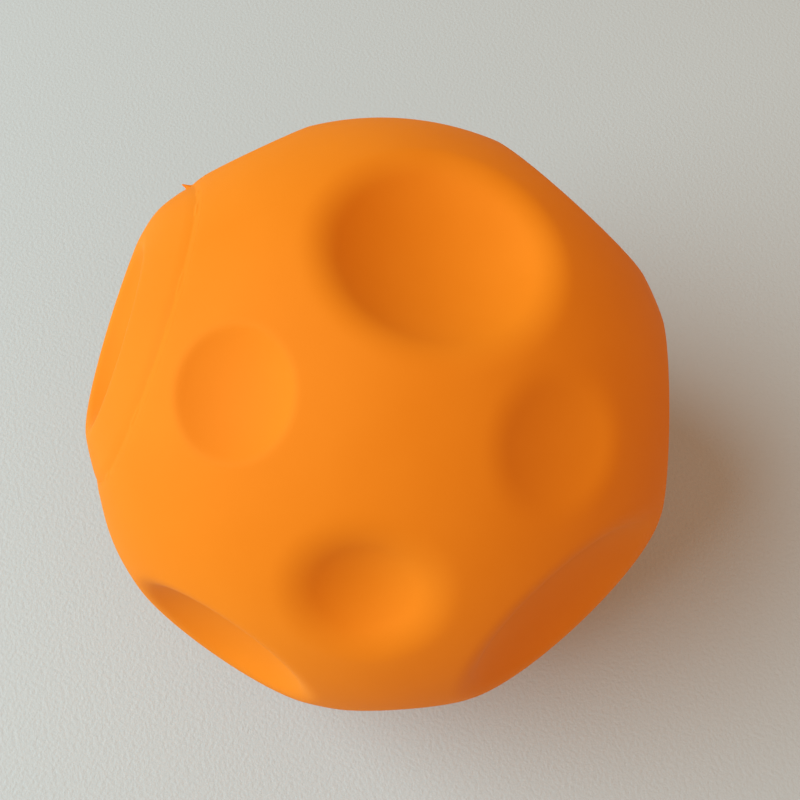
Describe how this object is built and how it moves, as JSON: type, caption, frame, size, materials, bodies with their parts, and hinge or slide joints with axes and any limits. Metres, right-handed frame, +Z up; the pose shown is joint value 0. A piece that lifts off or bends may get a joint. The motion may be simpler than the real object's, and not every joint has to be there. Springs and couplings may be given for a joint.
{
  "type": "sensory ball",
  "caption": "Hollow soft vinyl ball dimpled with round finger wells of mixed sizes, closed by a welded end cap with a push-in air plug in its own well.",
  "frame": {"origin": "on the surface the ball stands on, straight below the ball's centre; the ball rests on the rounded rim of its bottom well", "axes": "+Z up; the end cap's axis points to azimuth 154.5 degrees from +X towards +Y and 26 degrees above the horizontal"},
  "size_m": [0.1, 0.0998, 0.0962],
  "materials": {
    "orange_vinyl": "satin",
    "milky_vinyl": "satin"
  },
  "bodies": {
    "ball": {"body_shell": "orange_vinyl", "end_cap": "orange_vinyl", "seam_weld": "orange_vinyl", "valve_seat": "orange_vinyl"},
    "plug": {"air_plug": "milky_vinyl"}
  },
  "joints": [
    {"name": "plug_pull", "type": "slide", "parent": "ball", "child": "plug", "axis": [-0.8112, 0.3869, 0.4384], "range_m": [0, 0.022]}
  ]
}
